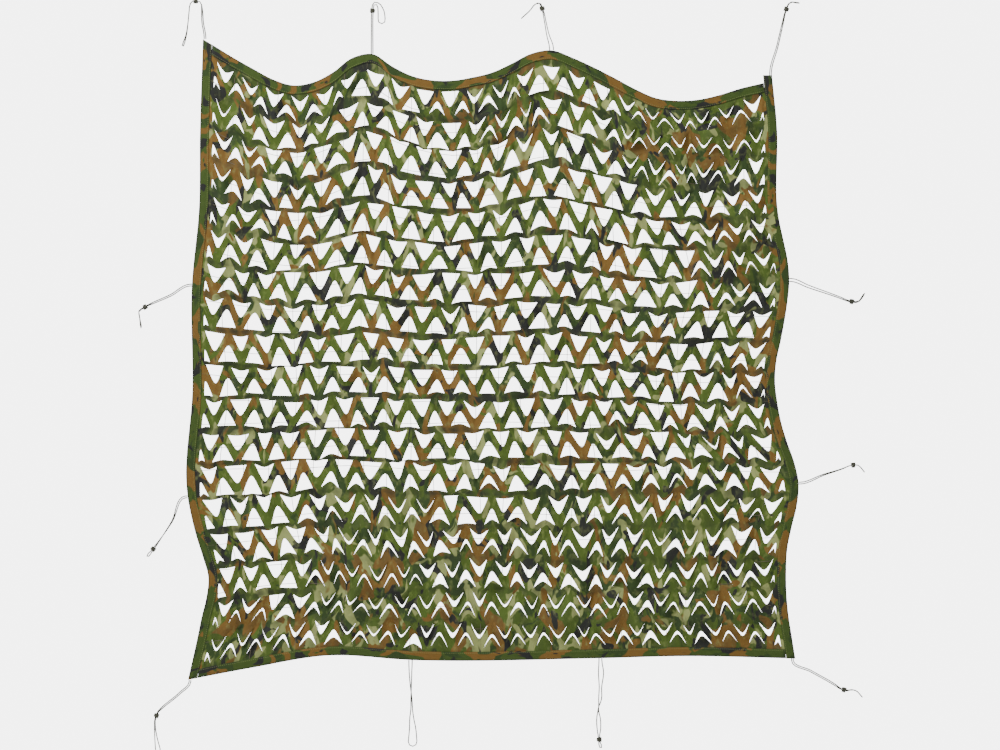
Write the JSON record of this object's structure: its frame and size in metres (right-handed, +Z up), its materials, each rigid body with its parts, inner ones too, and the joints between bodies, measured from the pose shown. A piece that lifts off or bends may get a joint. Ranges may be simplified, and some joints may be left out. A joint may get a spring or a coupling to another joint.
{
  "type": "camouflage net",
  "caption": "Square camouflage net of slit printed cloth with a taped edge and cord ties, as it hangs stretched by its ties.",
  "frame": {"origin": "middle of the top hem's upper edge", "axes": "+Z up, +X to the right along the top hem, +Y through the net from its front to its back"},
  "size_m": [2.4231, 0.0358, 2.5151],
  "materials": {
    "cloth": "matt printed woven cloth",
    "tape": "matt printed woven tape",
    "cord": "matt braided cord"
  },
  "bodies": {
    "root": {"net_cloth": "cloth", "tape_top": "tape", "tape_bottom": "tape", "tape_left": "tape", "tape_right": "tape", "tie_top_1": "cord", "tie_top_2": "cord", "tie_top_3": "cord", "tie_top_4": "cord", "tie_left_1": "cord", "tie_left_2": "cord", "tie_right_1": "cord", "tie_right_2": "cord", "tie_bottom_1": "cord", "tie_bottom_2": "cord", "tie_bottom_3": "cord", "tie_bottom_4": "cord", "knot_top_1": "cord", "knot_top_2": "cord", "knot_top_3": "cord", "knot_top_4": "cord", "knot_left_1": "cord", "knot_left_2": "cord", "knot_right_1": "cord", "knot_right_2": "cord", "knot_bottom_1": "cord", "knot_bottom_3": "cord", "knot_bottom_4": "cord"}
  },
  "joints": []
}
